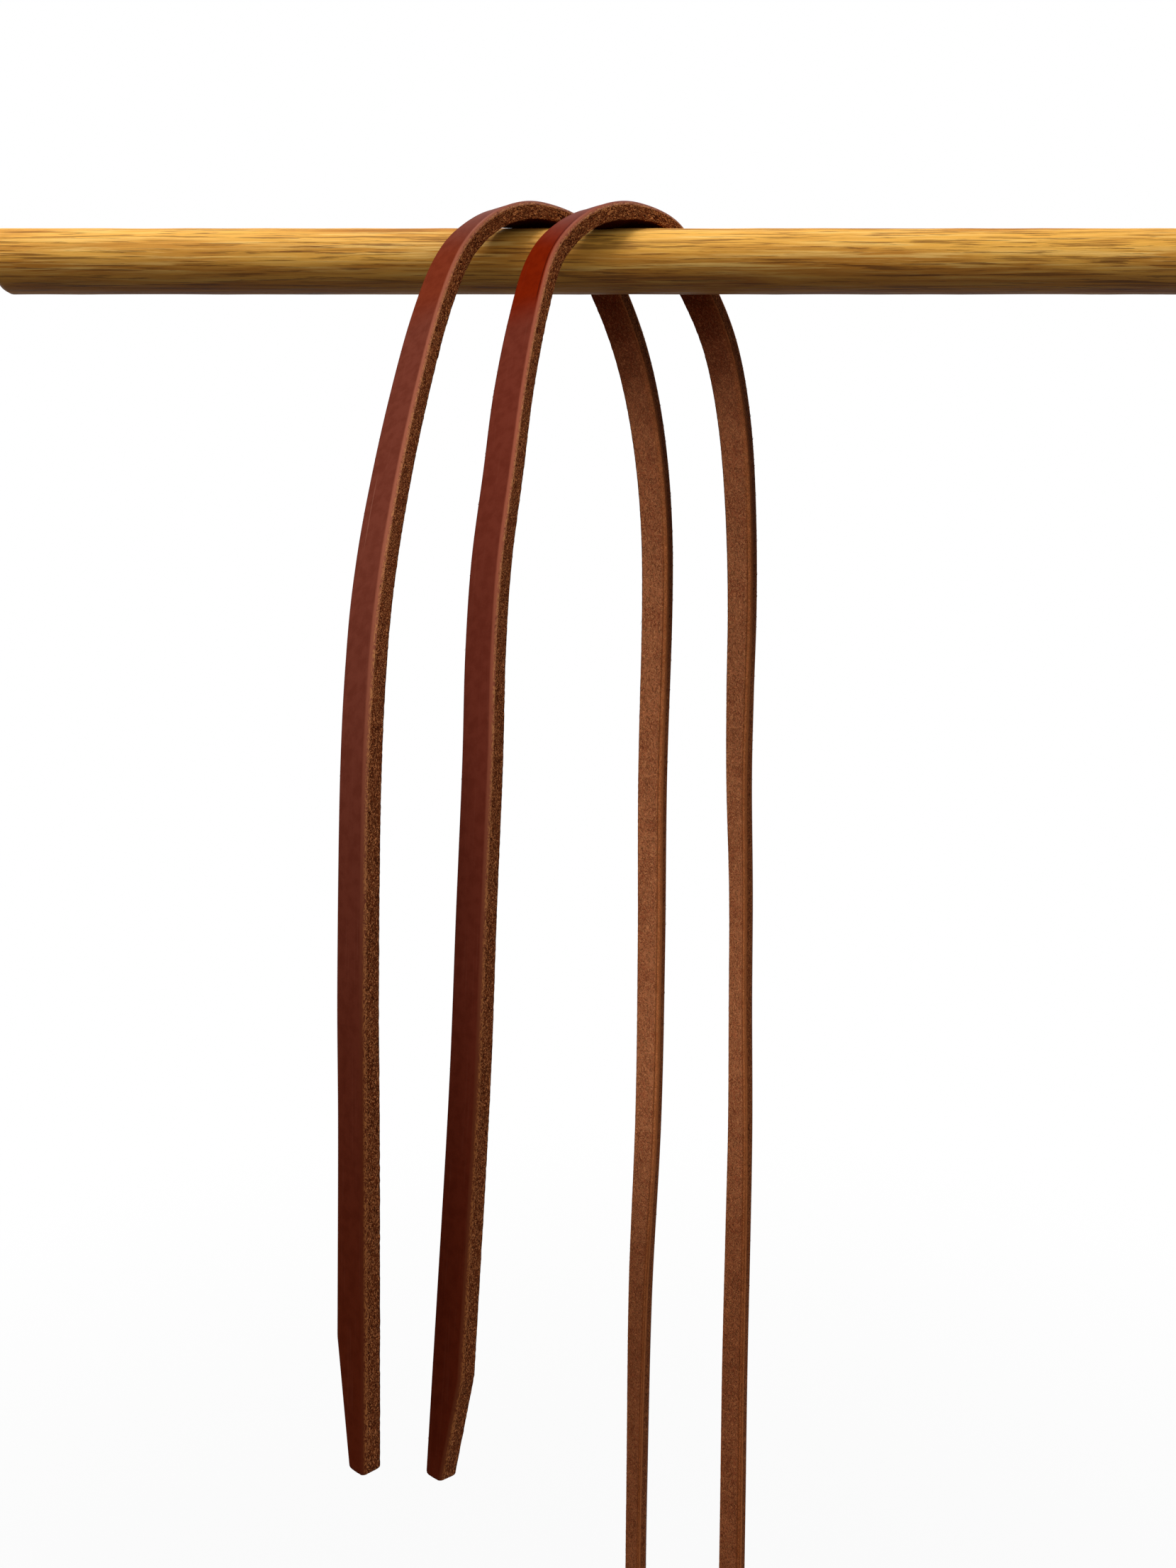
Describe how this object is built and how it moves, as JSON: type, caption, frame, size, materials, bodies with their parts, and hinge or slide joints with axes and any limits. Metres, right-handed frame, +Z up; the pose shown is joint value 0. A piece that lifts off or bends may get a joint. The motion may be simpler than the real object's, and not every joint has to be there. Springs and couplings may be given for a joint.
{
  "type": "pair of leather straps",
  "caption": "Pair of long, thick, flat leather straps with slanted tapered tips, hung side by side over a round horizontal rail.",
  "frame": {"origin": "on the axis of the round rail that the straps hang over, midway between the two straps", "axes": "+Z up; +X along the rail, from the left strap to the right strap; +Y from the front legs to the back legs"},
  "size_m": [0.1561, 0.327, 1.0303],
  "materials": {
    "harness_leather": "waxed smooth grain face, raw fibrous edges and a rough flesh face"
  },
  "bodies": {
    "left_strap": {"left_strap": "harness_leather"},
    "right_strap": {"right_strap": "harness_leather"}
  },
  "joints": [
    {"name": "strap_slide", "type": "slide", "parent": "left_strap", "child": "right_strap", "axis": [1, 0, 0], "range_m": [-0.01, 0.1]}
  ]
}
